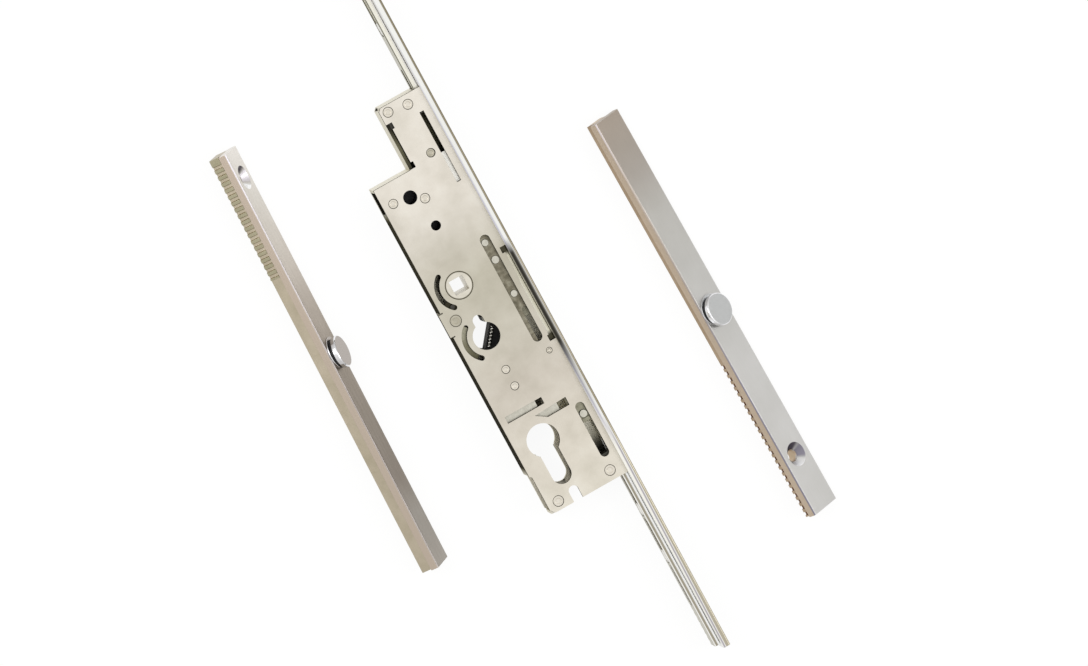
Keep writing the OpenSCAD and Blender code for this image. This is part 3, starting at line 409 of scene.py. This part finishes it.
for name, node in frame["nodes"].items():
    node.data.materials.clear()
    node.data.materials.append(FINISH[name])


# Pieces with softened edges, made from merged copies of the CAD nodes

# Points nearer than the first are one, faces within the second are one flat face, and an edge past the third
# is sharp
MERGE_MM = 0.002
FLAT_DEGREES = 0.5
SHARP_DEGREES = 32
# Steps across a broken edge, and halvings of a wire's facets
EDGE_STEPS = 2
WIRE_LEVELS = 2


def only(piece):
    """Selects that piece alone."""
    bpy.ops.object.select_all(action="DESELECT")
    piece.select_set(True)
    bpy.context.view_layer.objects.active = piece


def stand_in(node, flat_degrees=0):
    """A merged copy of a CAD node that replaces it, with its flat triangles joined up to that angle."""
    piece = bpy.data.objects.new(node + "_finished", frame["nodes"][node].data.copy())
    bpy.context.scene.collection.objects.link(piece)
    only(piece)
    bpy.ops.object.mode_set(mode="EDIT")
    bpy.ops.mesh.select_all(action="SELECT")
    bpy.ops.mesh.remove_doubles(threshold=MERGE_MM * MM)
    if flat_degrees:
        bpy.ops.mesh.dissolve_limited(angle_limit=math.radians(flat_degrees))
    bpy.ops.object.mode_set(mode="OBJECT")
    bpy.ops.mesh.customdata_custom_splitnormals_clear()
    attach(piece, BODY_OF[node])
    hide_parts(node)
    return piece


def softened(node, radius_mm):
    """The node with its sharp edges broken."""
    piece = stand_in(node, FLAT_DEGREES)
    edge = piece.modifiers.new("broken_edges", "BEVEL")
    edge.width = radius_mm * MM
    edge.segments = EDGE_STEPS
    edge.limit_method = "ANGLE"
    edge.angle_limit = math.radians(SHARP_DEGREES)
    edge.use_clamp_overlap = True
    bpy.ops.object.modifier_apply(modifier=edge.name)
    bpy.ops.object.shade_smooth_by_angle(angle=math.radians(SHARP_DEGREES))
    even = piece.modifiers.new("even_faces", "WEIGHTED_NORMAL")
    even.weight = 100
    even.keep_sharp = True
    bpy.ops.object.modifier_apply(modifier=even.name)
    return piece


def rounded(node):
    """A wire whose six-sided section is subdivided until it is round."""
    piece = stand_in(node)
    bpy.ops.object.mode_set(mode="EDIT")
    bpy.ops.mesh.select_all(action="SELECT")
    bpy.ops.mesh.tris_convert_to_quads()
    bpy.ops.object.mode_set(mode="OBJECT")
    smooth = piece.modifiers.new("round_wire", "SUBSURF")
    smooth.levels = WIRE_LEVELS
    smooth.render_levels = WIRE_LEVELS
    bpy.ops.object.modifier_apply(modifier=smooth.name)
    bpy.ops.object.shade_smooth()
    return piece


# Radius of each node's broken edges in millimetres
BROKEN_EDGES = {
    "cover_plate": 0.28, "back_case": 0.3, "faceplate": 0.3, "upper_bar_strip": 0.2, "lower_bar_strip": 0.2,
    "upper_bar_rack": 0.2, "lower_bar_rack": 0.2, "slide_plate": 0.15, "rack_slide": 0.15,
    "deadlock_plate": 0.15, "lower_slide": 0.15, "upper_follower": 0.3, "lower_follower": 0.15,
    "lower_cam_plate": 0.15, "lower_bar_cam": 0.15, "upper_bar_cam": 0.15, "drive_rail": 0.2,
    "spacer_rivets": 0.08, "head_rivet": 0.08, "slide_rivets": 0.12, "upper_stop_pin": 0.12,
    "lower_slide_pin": 0.12, "spring_stud": 0.12, "rail_guides": 0.12, "case_screws": 0.12,
    "top_block": 0.25, "bottom_block": 0.25, "lower_bar_rivets": 0.12, "upper_bar_rivets": 0.12,
}

for node, radius in BROKEN_EDGES.items():
    softened(node, radius)

for node in ("brake_spring", "lower_follower_spring"):
    rounded(node)


# Floor, light and camera

FLOOR_Z = cad_box[0].z
FLOOR_GAP_MM = 0.02
FLOOR_SIZE = 12.0
# Share of plain white in what the camera and the mirrors see of the floor
GLOW_SHARE = 0.9

# White paper, matt and slightly grey, so that it takes the lock's shadow
bpy.ops.mesh.primitive_plane_add(size=FLOOR_SIZE, location=(0, 0, FLOOR_Z - FLOOR_GAP_MM * MM))
floor = bpy.context.active_object
floor.name = "floor"
floor_paper, tree = material("white_paper_floor")
rays = add(tree, "LightPath")
seen = add(tree, "Math", {0: rays.outputs["Is Camera Ray"], 1: rays.outputs["Is Glossy Ray"]},
           operation="MAXIMUM")
seen = add(tree, "Math", {0: seen.outputs[0], 1: rays.outputs["Is Transmission Ray"]}, operation="MAXIMUM")
share = add(tree, "Math", {0: seen.outputs[0], 1: GLOW_SHARE}, operation="MULTIPLY")
paper = add(tree, "BsdfDiffuse", {"Color": linear("#f6f6f5")})
glow = add(tree, "Emission", {"Color": (1, 1, 1, 1), "Strength": 1.02})
both = add(tree, "MixShader", {0: share.outputs[0], 1: paper.outputs[0], 2: glow.outputs[0]})
add(tree, "OutputMaterial", {"Surface": both.outputs[0]})
floor.data.materials.append(floor_paper)

# A pale room: light from above, a little darker round the horizon, which gives the metal its modelling
world = bpy.data.worlds.new("pale_studio")
bpy.context.scene.world = world
world.use_nodes = True
tree = world.node_tree
tree.nodes.clear()
sky = add(tree, "TexCoord")
split = add(tree, "SeparateXYZ", {"Vector": sky.outputs["Generated"]})
height = add(tree, "MapRange", {"Value": split.outputs["Z"], "From Min": -0.1, "From Max": 1.0})
tone = add(tree, "ValToRGB", {"Fac": height.outputs["Result"]},
           stops=[(0.0, "#d9d8d6"), (0.35, "#c9c8c6"), (0.7, "#e9e8e6"), (1.0, "#ffffff")])
back = add(tree, "Background", {"Color": tone.outputs["Color"], "Strength": 1.0})
add(tree, "OutputWorld", {"Surface": back.outputs[0]})


def softbox(name, place, aim, width, height, power):
    """A soft rectangular light that looks at a point."""
    data = bpy.data.lights.new(name, "AREA")
    data.shape = "RECTANGLE"
    data.size, data.size_y = width, height
    data.energy = power
    lamp = bpy.data.objects.new(name, data)
    bpy.context.scene.collection.objects.link(lamp)
    lamp.location = place
    lamp.rotation_euler = (Vector(aim) - Vector(place)).to_track_quat("-Z", "Y").to_euler()
    return lamp


softbox("key_softbox", (-0.9, 0.7, 1.2), (0, 0, 0), 0.9, 0.9, 6)
softbox("fill_softbox", (1.1, -0.3, 0.9), (0, 0, 0), 0.6, 1.0, 3)

# The photograph looks nearly straight down on the lock, turned so that the lock leans to the left.
# AIM is the point in the middle of the picture
AIM = Vector((27.01, -43.45, 8)) * MM
TO_CAMERA = Vector((-0.128, 0.146, 1)).normalized()
IMAGE_UP = Vector((0.4796, 0.8775, 0))
DISTANCE_MM = 4000
# Scale of the picture at AIM, and its width in pixels
PIXELS_PER_MM = 1.9338
PHOTO_WIDTH = 1088
SENSOR_MM = 36

lens = bpy.data.cameras.new("photo_camera")
lens.sensor_width = SENSOR_MM
lens.lens = PIXELS_PER_MM * DISTANCE_MM * SENSOR_MM / PHOTO_WIDTH
lens.clip_start = 0.01
lens.clip_end = 50
camera = bpy.data.objects.new("photo_camera", lens)
bpy.context.scene.collection.objects.link(camera)
across = IMAGE_UP.cross(TO_CAMERA).normalized()
upright = TO_CAMERA.cross(across)
turn = Matrix((across, upright, TO_CAMERA)).transposed()
camera.matrix_world = Matrix.Translation(AIM + TO_CAMERA * DISTANCE_MM * MM) @ turn.to_4x4()
bpy.context.scene.camera = camera

bpy.context.scene.view_settings.view_transform = "Standard"

bpy.context.view_layer.update()
